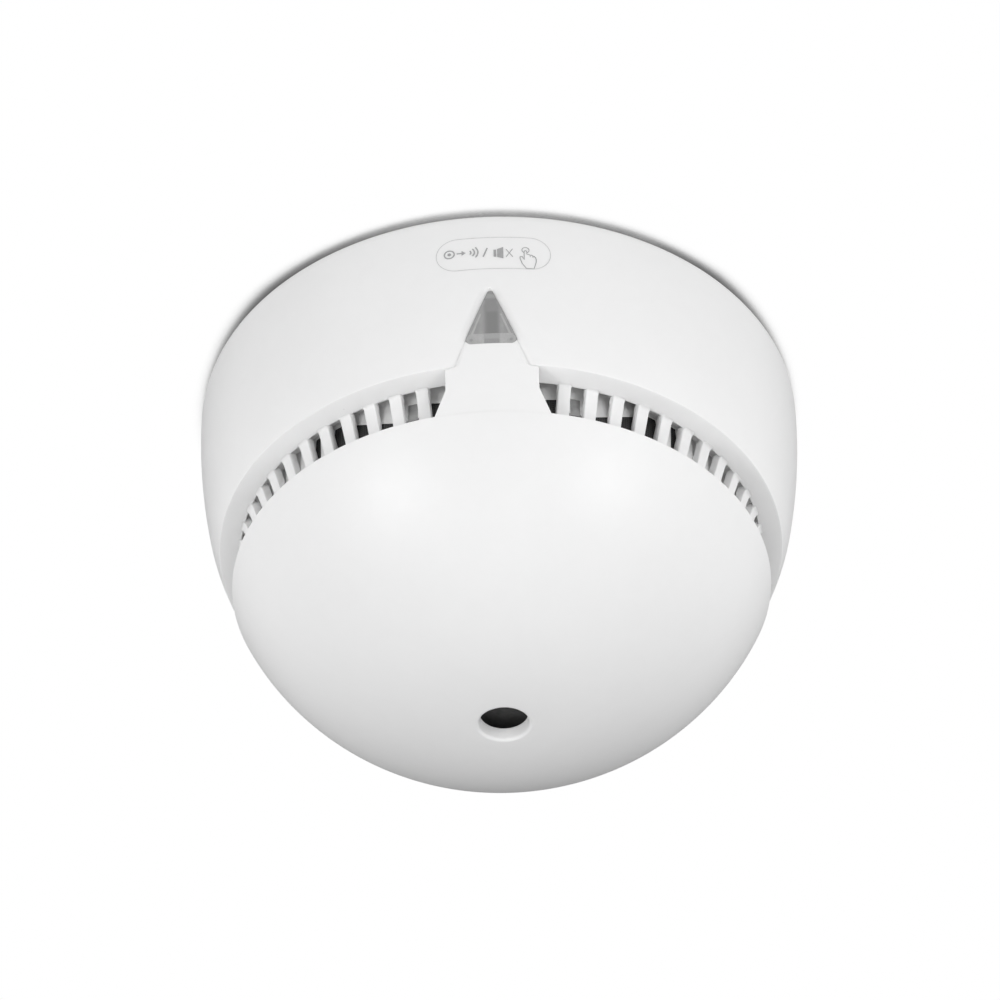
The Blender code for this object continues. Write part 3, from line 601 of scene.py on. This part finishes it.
def rib(az):
    """One tapered bar, as closed rings of rounded rectangles from the top down."""
    rings = []
    for z, flare in ((-30.2, 0.3), (-30.97, 0.30), (-31.03, 0.20), (-31.12, 0.11), (-31.25, 0.05), (-31.5, 0.0),
                     (-33.0, 0.0), (-35.0, 0.0), (-37.0, 0.0), (-38.25, 0.0)):
        out_r = RIB_OUT + RIB_SLOPE * (z + 30.9) + flare
        half = 0.5 * RIB_W + 0.3 * flare
        ring = fillet([(out_r, -half, 0.16, 3), (out_r, half, 0.16, 3),
                       (out_r - flare - RIB_T, half * 0.955, 0.2, 3), (out_r - flare - RIB_T, -half * 0.955, 0.2, 3)])
        turn = Matrix.Rotation(az - math.pi / 2, 3, "Z")
        rings.append([tuple(turn @ Vector((x, y, z)) * MM) for x, y in ring])
    n = len(rings[0])
    verts = [p for ring in rings for p in ring]
    faces = [(i * n + k, (i + 1) * n + k, (i + 1) * n + (k + 1) % n, i * n + (k + 1) % n)
             for i in range(len(rings) - 1) for k in range(n)]
    faces += [tuple(range(n)), tuple(reversed(range((len(rings) - 1) * n, len(rings) * n)))]
    return mesh_object("rib", verts, faces)


for i in range(60):
    az = math.radians(3.0 + 6.0 * i)
    if min(az, 2 * math.pi - az) < math.radians(10.0):
        continue
    ribs.append(rib(az))
ribs.append(revolve("spigot", fillet([(39.5, -37.95, 0.15, 3), (41.9, -38.15, 0.1, 2), (41.9, -38.5), (41.3, -38.5, 0.1, 2),
                                      (41.3, -39.9, 0.2, 3), (40.35, -39.9, 0.2, 3), (40.35, -38.9, 0.1, 2),
                                      (37.95, -38.9, 0.2, 3), (37.95, -37.95, 0.2, 3)]), 360))
vent_ring = join("vent_ring", ribs, WHITE)
bm = bmesh.new()
bm.from_mesh(vent_ring.data)
bmesh.ops.recalc_face_normals(bm, faces=bm.faces)
bm.to_mesh(vent_ring.data)
bm.free()

# tongue: cross-sections with rounded shoulders, lofted downwards
def level(pts, z):
    for (z0, h0), (z1, h1) in zip(pts, pts[1:]):
        if z <= z0 and z >= z1:
            return h0 + (h1 - h0) * (z0 - z) / (z0 - z1)
    return pts[0][1] if z > pts[0][0] else pts[-1][1]


def tongue_half(z):
    return level([(-26.4, 3.86), (-27.3, 4.17), (-28.8, 4.82), (-30.0, 5.28), (-30.45, 5.44),
                  (-30.75, 5.56), (-30.92, 5.74), (-31.05, 6.02), (-31.15, 6.40), (-31.22, 6.75),
                  (-31.26, 7.16), (-34.4, 7.17), (-38.10, 8.95)], z)


TONGUE_Z = np.linspace(-38.10, -26.4, 400)
TONGUE_SLOPE = np.interp(TONGUE_Z, [-38.10, -34.0, -32.0, -30.5, -29.0, -27.3, -26.9, -26.4],
                         [0.405, 0.405, 0.365, 0.320, 0.255, 0.225, 0.05, -0.30])
TONGUE_R = 43.349 + np.concatenate([[0.0], np.cumsum(0.5 * (TONGUE_SLOPE[1:] + TONGUE_SLOPE[:-1]) * np.diff(TONGUE_Z))])


def tongue_out(z):
    return float(np.interp(z, TONGUE_Z, TONGUE_R)) - (0.07 if z < -38.12 else 0.0)


def tongue_proud(z, side):
    """How far the face stands out at its sides: it is a little flatter than the wall."""
    return level([(-26.8, 0.0), (-30.3, 0.06), (-34.4, 0.05), (-38.10, 0.0)], z) * (1.5 if side > 0 else 0.5)


levels = sorted(set(list(np.linspace(-26.4, -30.3, 16)) + [-30.45, -30.6, -30.75, -30.84, -30.92, -30.99, -31.05, -31.1, -31.15, -31.19, -31.22, -31.24, -31.26, -31.32, -31.5]
                    + list(np.linspace(-31.9, -34.2, 7)) + [-34.35, -34.45] + list(np.linspace(-34.9, -37.7, 8)) + [-37.9, -38.0, -38.07, -38.11, -38.17]), reverse=True)
rings = []
COLS = 28
for z in levels:
    half, out_r = tongue_half(z), tongue_out(z)
    in_r = level([(-26.4, out_r - 0.6), (-30.6, 40.7), (-31.2, 40.4), (-38.10, 38.3)], z) if z < -30.0 else min(out_r - 0.6, 40.7 + (z + 30.6) * 1.2)
    on_face = z > -31.0
    shoulder_w = level([(-27.0, 0.36), (-30.4, 0.58), (-31.0, 0.40), (-31.26, 0.13)], z)
    drop = level([(-27.0, 0.11), (-29.0, 0.17), (-30.4, 0.24), (-31.26, 0.13)], z)
    a_out = half / out_r
    a_in = (half - shoulder_w) / out_r
    ring = []
    for k in range(COLS + 1):
        t = 2 * k / COLS - 1
        ring.append((out_r + tongue_proud(z, t) * t * t, a_in * t))
    sides = []
    for way in (-1, 1):
        edge_r = out_r + tongue_proud(z, way)
        points = []
        for k in range(1, 5):
            q = k / 4
            bend = 1 - math.cos(q * math.pi / 2)
            side_q = math.sin(q * math.pi / 2)
            if on_face:
                bend, side_q = (0.2, 0.5, 0.8, 1.0)[k - 1], (0.25, 0.5, 0.75, 1.0)[k - 1]
            points.append((edge_r - drop * bend, way * (a_in + (a_out - a_in) * side_q)))
        base_r = edge_r - drop
        for k in range(1, 5):
            r = base_r + (in_r - base_r) * k / 4
            points.append((r, way * math.asin(min(1.0, out_r * math.sin(a_out) / r))))
        sides.append(points)
    ring = list(reversed(sides[0])) + ring + sides[1]
    shift = LENS_X / 45.5
    rings.append([(r * math.sin(a + shift) * MM, -r * math.cos(a + shift) * MM, z * MM) for r, a in ring])
verts = [p for ring in rings for p in ring]
n = len(rings[0])
faces = []
for i in range(len(rings) - 1):
    for k in range(n):
        j = (k + 1) % n
        faces.append((i * n + k, (i + 1) * n + k, (i + 1) * n + j, i * n + j))
faces.append(tuple(range(n)))
faces.append(tuple(reversed(range((len(rings) - 1) * n, len(rings) * n))))
tongue = mesh_object("housing_tongue", verts, faces, WHITE_COVER, smooth=38.0)
bm = bmesh.new(); bm.from_mesh(tongue.data); bmesh.ops.recalc_face_normals(bm, faces=bm.faces); bm.to_mesh(tongue.data); bm.free()
cut(tongue, prism("tongue_lens_hole", [(x + LENS_X, -54.0, z) for x, z in triangle(0.05, 14)], (0, 14.0, 0)), smooth=38.0)

for piece in (housing, vent_ring, tongue):
    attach(piece, "detector")
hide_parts("front_housing")

# grey skirt close behind the ribs, with windows onto the dark chamber below it
def skirt_low(deg):
    """Lower edge of the skirt by azimuth from the tongue."""
    d = abs(deg)
    if d < 15.2:
        return -30.4 - 0.905 * (SKIRT_R * math.cos(math.radians(d)) - 37.4)
    if d < 21.0:
        return -34.2
    if d < 34.0:
        return max(-34.2, -30.4 - 0.905 * (SKIRT_R * math.cos(math.radians(d)) - 33.1))
    if d < 39.0:
        return -29.65
    if 42.6 < d < 45.0:
        return -29.1
    if d < 136.0:
        return -34.2
    return -32.6


SKIRT_R = 40.12
verts, faces = [], []
SKIRT = 720
for i in range(SKIRT):
    deg = -180.0 + 360.0 * i / SKIRT
    a = math.radians(deg)
    low = skirt_low(deg)
    for r, z in ((SKIRT_R + 0.03, -28.3), (SKIRT_R, low), (SKIRT_R - 0.14, low), (SKIRT_R - 0.08, -28.3)):
        verts.append((r * math.sin(a) * MM, -r * math.cos(a) * MM, z * MM))
for i in range(SKIRT):
    j = (i + 1) % SKIRT
    for k in range(4):
        m4 = (k + 1) % 4
        faces.append((i * 4 + k, j * 4 + k, j * 4 + m4, i * 4 + m4))
skirt = mesh_object("vent_skirt", verts, faces, WHITE_IN, smooth=30.0)
bm = bmesh.new()
bm.from_mesh(skirt.data)
bmesh.ops.recalc_face_normals(bm, faces=bm.faces)
bm.to_mesh(skirt.data)
bm.free()
for side in (-1, 1):
    def block(name, d0, d1, r0, r1, z0, z1, mat=None):
        corners = [(r0, d0), (r1, d0), (r1, d1), (r0, d1)]
        pts = [(r * math.sin(math.radians(side * d)), -r * math.cos(math.radians(side * d)), z0) for r, d in corners]
        return prism(name, pts, (0, 0, z1 - z0), mat)
    cut(skirt, block("skirt_window", 16.9, 19.2, 36.5, 42.0, -31.15, -35.0))
    # a grey block fills each window, its colour painted shade standing in for a shaded recess
    recess = block("skirt_recess_" + ("left" if side < 0 else "right"), 16.75, 19.4, 39.2, 39.99, -31.0, -34.5, RECESS_SHADE)
    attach(recess, "detector")
    post = block("skirt_post_" + ("left" if side < 0 else "right"), 19.35, 20.3, 38.9, 40.15, -30.6, -34.4, WHITE)
    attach(post, "detector")
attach(skirt, "detector")
mesh_band = revolve("screen_band", [(39.92, -28.4), (39.92, -34.6), (39.84, -34.6), (39.84, -28.4)], mat=MESH_BLACK)
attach(mesh_band, "detector")

# ------------------------------------------------------------------ dome cover
outer = [(dome_r(RIM_Z) - 0.006, RIM_Z, 0.03, 2)]
outer += [(dome_r(RIM_Z - d), RIM_Z - d) for d in (0.05, 0.09, 0.14)]
for r in np.concatenate([np.linspace(42.9, 36.0, 24), np.linspace(35.4, 5.95, 55)]):
    outer.append((float(r), dome_z(float(r))))
outer += [(4.0, dome_z(4.0), 0.55, 10), (3.70, -61.85, 0.2, 4), (5.8, -61.85, 0.3, 3)]
inner = [(6.0, dome_z(6.0, 2.1) + 0.1)]
for r in np.linspace(7.5, 39.4, 34):
    inner.append((float(r), dome_z(float(r), 2.1)))
step = -40.2
inner += [(dome_r(step) - 2.0, step), (dome_r(step) - 0.9, step), (dome_r(RIM_Z) - 0.95, RIM_Z, 0.12, 2)]
dome = revolve("dome_shell", fillet(outer + inner), 480, WHITE_COVER)
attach(dome, "detector")
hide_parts("dome_cover")

# ------------------------------------------------------------------ test button
def face_form(offset, n=360):
    zs = np.linspace(TOP_Z, -29.8, 40)
    return revolve("form", [(0.0, TOP_Z)] + [(wall_r(z) + offset, z) for z in zs] + [(0.0, -29.8)], n, closed=False)


button = prism("button_lens", [(x + LENS_X, -54.0, z) for x, z in triangle(0.0, 14)], (0, 11.0, 0), LENS)
cut(button, face_form(-0.03), "INTERSECT")
hollow = prism("hollow", [(x + LENS_X, -56.0, z) for x, z in triangle(-0.9, 10)], (0, 16.0, 0))
cut(hollow, face_form(-2.2), "INTERSECT")
cut(button, hollow)
stem = prism("stem", [(x, -46.2, z) for x, z in fillet([(-0.75, SWITCH_Z + 1.3, 0.2, 3), (0.75, SWITCH_Z + 1.3, 0.2, 3), (0.75, SWITCH_Z - 1.3, 0.2, 3), (-0.75, SWITCH_Z - 1.3, 0.2, 3)])], (0, 5.4, 0))
cut(button, stem, "UNION")
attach(button, "button")
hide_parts("test_button")


# what shows through the lens: a grey carrier moulded into it, with two slanted
# ribs, a ledge along the base and a ring-shaped post in each lower corner
def lens_piece(name, outline, deep, thick, mat):
    obj = prism(name, [(x + LENS_X, -52.0, z) for x, z in outline], (0, 12.0, 0), mat)
    cut(obj, face_form(-deep), "INTERSECT")
    back = face_form(-deep - thick)
    cut(obj, back)
    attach(obj, "button")
    return obj


def slant_x(z, inset):
    return (LENS_APEX_Z - z) * math.tan(LENS_HALF) - inset / math.cos(LENS_HALF)


lens_piece("button_carrier", triangle(-0.02, 12), 0.12, 1.2, LENS_PLATE)
for side in (-1, 1):
    z0, z1 = -22.0, -25.5
    rib = [(side * slant_x(z0, 0.36), z0, 0.05, 2), (side * slant_x(z1, 0.42), z1, 0.05, 2),
           (side * slant_x(z1, 0.76), z1, 0.05, 2), (side * slant_x(z0, 0.62), z0, 0.05, 2)]
    lens_piece(f"button_rib_{'left' if side < 0 else 'right'}", fillet(rib), 0.09, 0.3, LENS_PALE)
lens_piece("button_ledge", fillet([(-slant_x(-25.5, 0.2), -25.5, 0.2, 3), (slant_x(-25.5, 0.2), -25.5, 0.2, 3),
                                   (3.95, -27.22, 0.75, 8), (-3.95, -27.22, 0.75, 8)]),
           0.10, 0.3, LENS_LEDGE)
for side in (-1, 1):
    ring = [(side * 3.06 + 0.74 * math.cos(a), -26.42 + 0.74 * math.sin(a)) for a in np.linspace(0, 2 * np.pi, 33)[:-1]]
    pit = [(side * 3.06 + 0.54 * math.cos(a), -26.42 + 0.54 * math.sin(a)) for a in np.linspace(0, 2 * np.pi, 33)[:-1]]
    pin = [(side * 3.06 + 0.26 * math.cos(a), -26.5 + 0.26 * math.sin(a)) for a in np.linspace(0, 2 * np.pi, 25)[:-1]]
    tag = "left" if side < 0 else "right"
    post = lens_piece(f"button_post_{tag}", ring, 0.06, 0.3, LENS_PALE)
    cut(post, prism("pit", [(x + LENS_X, -52.0, z) for x, z in pit], (0, 12.0, 0)))
    lens_piece(f"button_pit_{tag}", [(side * 3.06 + (x - side * 3.06) * 0.99, z) for x, z in pit], 0.09, 0.2, LENS_MID)
    lens_piece(f"button_pin_{tag}", pin, 0.08, 0.2, LENS_DEEP)

# ------------------------------------------------------------------ printed marks
def on_wall(s, z, lift):
    r = wall_r(z) + lift
    a = s / (wall_r(z))
    return (r * math.sin(a) * MM, -r * math.cos(a) * MM, z * MM)


class Print:
    """Thin ink shapes on the housing wall, in arc length s and height z (mm)."""

    def __init__(self):
        self.verts, self.faces = [], []

    def area(self, pts):
        n = len(pts)
        base = len(self.verts)
        for lift in (0.028, -0.02):
            self.verts += [on_wall(s, z, lift) for s, z in pts]
        self.faces.append(tuple(base + i for i in range(n)))
        self.faces.append(tuple(base + n + i for i in reversed(range(n))))
        for i in range(n):
            j = (i + 1) % n
            self.faces.append((base + i, base + n + i, base + n + j, base + j))

    def stroke(self, pts, width, closed=False):
        pts = [Vector(p) for p in pts]
        n = len(pts)
        left, right = [], []
        for i in range(n):
            a = pts[i - 1] if (i or closed) else pts[i]
            c = pts[(i + 1) % n] if (i < n - 1 or closed) else pts[i]
            t = (c - a).normalized()
            nrm = Vector((-t.y, t.x)) * width / 2
            left.append(pts[i] + nrm)
            right.append(pts[i] - nrm)
        base = len(self.verts)
        for lift in (0.028, -0.02):
            for side in (left, right):
                self.verts += [on_wall(p.x, p.y, lift) for p in side]
        m = n if closed else n - 1
        for i in range(m):
            j = (i + 1) % n
            lt, rt, lb, rb = base, base + n, base + 2 * n, base + 3 * n
            self.faces.append((lt + i, rt + i, rt + j, lt + j))
            self.faces.append((lb + i, lb + j, rb + j, rb + i))
            self.faces.append((lt + i, lt + j, lb + j, lb + i))
            self.faces.append((rt + i, rb + i, rb + j, rt + j))
        if not closed:
            for i, flip in ((0, 1), (n - 1, 0)):
                f = (base + i, base + 2 * n + i, base + 3 * n + i, base + n + i)
                self.faces.append(f if flip else tuple(reversed(f)))

    def build(self, name, ink=None):
        obj = mesh_object(name, self.verts, self.faces, ink or INK, smooth=0.0)
        bm = bmesh.new()
        bm.from_mesh(obj.data)
        bmesh.ops.recalc_face_normals(bm, faces=bm.faces)
        bm.to_mesh(obj.data)
        bm.free()
        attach(obj, "detector")
        return obj


def arc(cx, cz, r, a0, a1, n=16):
    return [(cx + r * math.cos(math.radians(a0 + (a1 - a0) * i / n)),
             cz + r * math.sin(math.radians(a0 + (a1 - a0) * i / n))) for i in range(n + 1)]


# pill-shaped frame
PX0, PX1, PZ0, PZ1 = -8.42, 9.46, -13.46, -6.98
pr = (PZ1 - PZ0) / 2
pz = (PZ0 + PZ1) / 2
pill = arc(PX1 - pr, pz, pr, 90, -90, 28)[:-1]
pill += [(PX1 - pr - (PX1 - PX0 - 2 * pr) * k / 40, PZ0) for k in range(40)]
pill += arc(PX0 + pr, pz, pr, 270, 90, 28)[:-1]
pill += [(PX0 + pr + (PX1 - PX0 - 2 * pr) * k / 40, PZ1) for k in range(40)]
frame_line = Print()
frame_line.stroke(pill, 0.085, closed=True)
frame_line.build("print_pill_outline", INK_FAINT)

# press-to-sound pictogram: a push button, an arrow and three sound arcs
sign = Print()
sign.stroke(arc(-6.35, -10.02, 0.78, 0, 360, 36)[:-1], 0.21, closed=True)
sign.area(arc(-6.35, -10.02, 0.30, 0, 360, 20)[:-1])
sign.stroke([(-5.20, -10.0), (-4.30, -10.0)], 0.21)
sign.area([(-4.42, -9.52), (-3.78, -10.0), (-4.42, -10.48)])
for rad, half in ((0.45, 50), (1.0, 46), (1.55, 42)):
    sign.stroke(arc(-3.42, -10.0, rad, -half, half, 14), 0.22)
sign.stroke([(-0.42, -9.22), (-1.06, -11.0)], 0.22)
sign.build("print_press_to_sound")

# loudspeaker with a cross, for silence
mute = Print()
mute.area([(0.56, -9.62), (0.98, -9.62), (0.98, -11.05), (0.56, -11.05)])
mute.area([(1.12, -9.50), (2.08, -9.06), (2.08, -11.42), (1.12, -11.12)])
mute.stroke([(2.48, -9.50), (3.54, -11.08)], 0.11)
mute.stroke([(3.52, -9.42), (2.48, -11.14)], 0.11)
mute.build("print_silence")

# pressing hand, with a ring at the fingertip
hand = Print()
hand.stroke(arc(5.54, -9.62, 0.56, -70, 250, 30), 0.12)
outline = arc(5.52, -9.95, 0.21, 180, 0, 8)
outline += [(5.73, -10.42), (6.02, -10.50), (6.24, -10.62), (6.44, -10.60), (6.66, -10.76),
            (6.86, -10.80), (7.08, -11.04), (7.17, -11.40), (7.15, -12.02), (7.00, -12.62),
            (6.84, -13.20)]
outline += [(6.82, -13.36), (5.58, -13.36), (5.50, -13.18), (5.22, -12.76), (4.98, -12.40),
            (4.80, -11.86), (4.66, -11.36), (4.66, -11.06), (4.80, -10.95), (5.00, -11.00),
            (5.14, -11.24), (5.31, -11.60), (5.31, -10.7)]
hand.stroke(outline, 0.135, closed=True)
hand.stroke([(6.24, -10.62), (6.26, -11.0)], 0.09)
hand.stroke([(6.66, -10.76), (6.68, -11.12)], 0.09)
hand.build("print_press_here")

# ------------------------------------------------------------------ finishes on the carried-over nodes
def finish_node(name, mat):
    obj = NODES[name]
    if not obj.material_slots:
        obj.data.materials.append(mat)
    for slot in obj.material_slots:
        slot.material = mat


for name, mat in (("mounting_plate", WHITE), ("rear_base", WHITE_IN), ("inner_tray", WHITE_IN),
                  ("circuit_board", BOARD), ("battery", DARK), ("battery_contact_pos", NICKEL),
                  ("battery_contact_neg", NICKEL), ("smoke_chamber_base", BLACK),
                  ("labyrinth_cap", BLACK), ("insect_screen", STEEL), ("infrared_led", LENS),
                  ("photodiode", DARK), ("sounder_housing", GRILLE), ("piezo_disc", BRASS),
                  ("piezo_lead_red", RED), ("piezo_lead_black", BLACK),
                  ("controller_chip", DARK), ("sounder_driver_chip", DARK), ("capacitor", DARK),
                  ("boost_coil", DARK), ("status_led", LENS), ("tact_switch_body", DARK),
                  ("tact_switch_plunger", BLACK), ("case_screw_1", STEEL), ("case_screw_2", STEEL),
                  ("case_screw_3", STEEL), ("board_screw_1", STEEL), ("board_screw_2", STEEL)):
    finish_node(name, mat)

# ------------------------------------------------------------------ stage, light and camera
def stage_plane(name, z, size, mat):
    s = size / 2
    obj = mesh_object(name, [(-s, -s, z), (s, -s, z), (s, s, z), (-s, s, z)], [(0, 3, 2, 1)], mat, smooth=0.0)
    for key in ("visible_diffuse", "visible_glossy", "visible_transmission", "visible_shadow"):
        setattr(obj, key, False)
    return obj


# the ceiling glows, and its colour carries a painted contact shadow: ambient occlusion, shifted by direction round the
# detector, gives a dark rim beside the housing that fades to white
m = Nodes("ceiling_glow_painted_shadow")
ao = m.node("ShaderNodeAmbientOcclusion", _samples=24, Distance=0.0045)
flat = m.node("ShaderNodeVectorMath", _operation="NORMALIZE")
m.wire(m.coord.outputs["Object"], flat.inputs[0])
split = m.tree.nodes.new("ShaderNodeSeparateXYZ")
m.wire(flat.outputs["Vector"], split.inputs[0])
facing = m.remap(split.outputs["Y"], -0.68, -1.0, 0.0, 0.14)
facing = m.math("ADD", facing, m.math("MULTIPLY", split.outputs["X"], 0.016))
facing = m.math("ADD", facing, m.remap(split.outputs["Y"], -0.62, -0.36, 0.0, 0.045))
tone = m.ramp(m.math("ADD", ao.outputs["AO"], facing),
              [(0.40, (0.078,) * 3), (0.49, (0.150,) * 3), (0.58, (0.280,) * 3),
               (0.65, (0.560,) * 3), (0.71, (0.875,) * 3), (0.745, (0.972,) * 3), (0.775, (1.0,) * 3)])
em = m.node("ShaderNodeEmission", Strength=1.0)
m.wire(tone, em.inputs["Color"])
clear = m.tree.nodes.new("ShaderNodeBsdfTransparent")
geo = m.tree.nodes.new("ShaderNodeNewGeometry")
mixs = m.tree.nodes.new("ShaderNodeMixShader")
m.wire(geo.outputs["Backfacing"], mixs.inputs[0])
m.wire(em.outputs[0], mixs.inputs[1])
m.wire(clear.outputs[0], mixs.inputs[2])
m.wire(mixs.outputs[0], m.out.inputs["Surface"])
ceiling = stage_plane("ceiling", 0.0, 6.0, m.mat)

f = Nodes("floor_paint")
em = f.node("ShaderNodeEmission", Strength=1.0)
em.inputs["Color"].default_value = (0.86, 0.86, 0.86, 1.0)
f.wire(em.outputs[0], f.out.inputs["Surface"])
floor = mesh_object("floor", [(-6, -6, -1.6), (6, -6, -1.6), (6, 6, -1.6), (-6, 6, -1.6)], [(0, 1, 2, 3)], f.mat, smooth=0.0)
for key in ("visible_diffuse", "visible_glossy", "visible_transmission", "visible_shadow"):
    setattr(floor, key, False)

# soft light all round: (elevation, azimuth from the front, strength) of broad glows
GLOWS = [
    (0, 60, 0.938),
    (0, 90, 0.844),
    (0, 120, 1.006),
    (0, 240, 1.196),
    (0, 270, 0.62),
    (-55, 0, 1.339),
    (-55, 135, 0.557),
    (-55, 225, 0.527),
    (-55, 315, 0.237),
    (-80, 315, 0.521),
    (35, 30, 0.923),
    (35, 90, 0.824),
    (35, 270, 0.552),
    (35, 330, 1.151)]
LIGHT = 0.957
world = bpy.data.worlds.new("studio")
scene.world = world
world.use_nodes = True
wt = world.node_tree
bg = wt.nodes["Background"]
bg.inputs["Color"].default_value = (1.0, 1.0, 1.0, 1.0)
where = wt.nodes.new("ShaderNodeTexCoord")


def world_math(op, a, b):
    node = wt.nodes.new("ShaderNodeMath")
    node.operation = op
    for i, v in enumerate((a, b)):
        if isinstance(v, (int, float)):
            node.inputs[i].default_value = v
        else:
            wt.links.new(v, node.inputs[i])
    return node.outputs[0]


total = 0.0
for el, az, strength in GLOWS:
    e, a = math.radians(el), math.radians(az)
    dot = wt.nodes.new("ShaderNodeVectorMath")
    dot.operation = "DOT_PRODUCT"
    wt.links.new(where.outputs["Generated"], dot.inputs[0])
    dot.inputs[1].default_value = (math.sin(a) * math.cos(e), -math.cos(a) * math.cos(e), math.sin(e))
    glow = world_math("POWER", world_math("MAXIMUM", dot.outputs["Value"], 0.0), 10.0)
    total = world_math("ADD", world_math("MULTIPLY", glow, strength), total)
wt.links.new(world_math("MULTIPLY", total, LIGHT), bg.inputs["Strength"])

cam_data = bpy.data.cameras.new("camera")
cam_data.sensor_fit = "HORIZONTAL"
cam_data.sensor_width = 36.0
cam_data.lens = 109.1925
cam_data.clip_start = 0.01
cam_data.clip_end = 50.0
cam_data.dof.use_dof = False
camera = link(bpy.data.objects.new("camera", cam_data))
cx = Vector((0.999461, 0.029840, -0.013661))
cy = Vector((0.030147, -0.670309, 0.741469))
cz = Vector((0.012968, -0.741482, -0.670848))
camera.matrix_world = Matrix((
    (cx.x, cy.x, cz.x, 0.0065154), (cx.y, cy.y, cz.y, -0.3732657),
    (cx.z, cy.z, cz.z, -0.3547124), (0, 0, 0, 1)))
scene.camera = camera


def area_light(name, at, aim, size, power):
    data = bpy.data.lights.new(name, "AREA")
    data.shape = "RECTANGLE"
    data.size, data.size_y = size
    data.energy = power
    obj = link(bpy.data.objects.new(name, data))
    obj.location = at
    d = Vector(aim) - Vector(at)
    obj.rotation_euler = d.to_track_quat("-Z", "Y").to_euler()
    return obj


area_light("softbox_left", (-0.65, -0.66, -0.48), (-0.015, -0.035, -0.046), (0.30, 0.36), 3.99 * LIGHT)
area_light("softbox_right", (0.67, -0.66, -0.44), (0.016, -0.035, -0.046), (0.30, 0.36), 3.05 * LIGHT)
scene.view_settings.view_transform = "Standard"
scene.view_settings.look = "None"
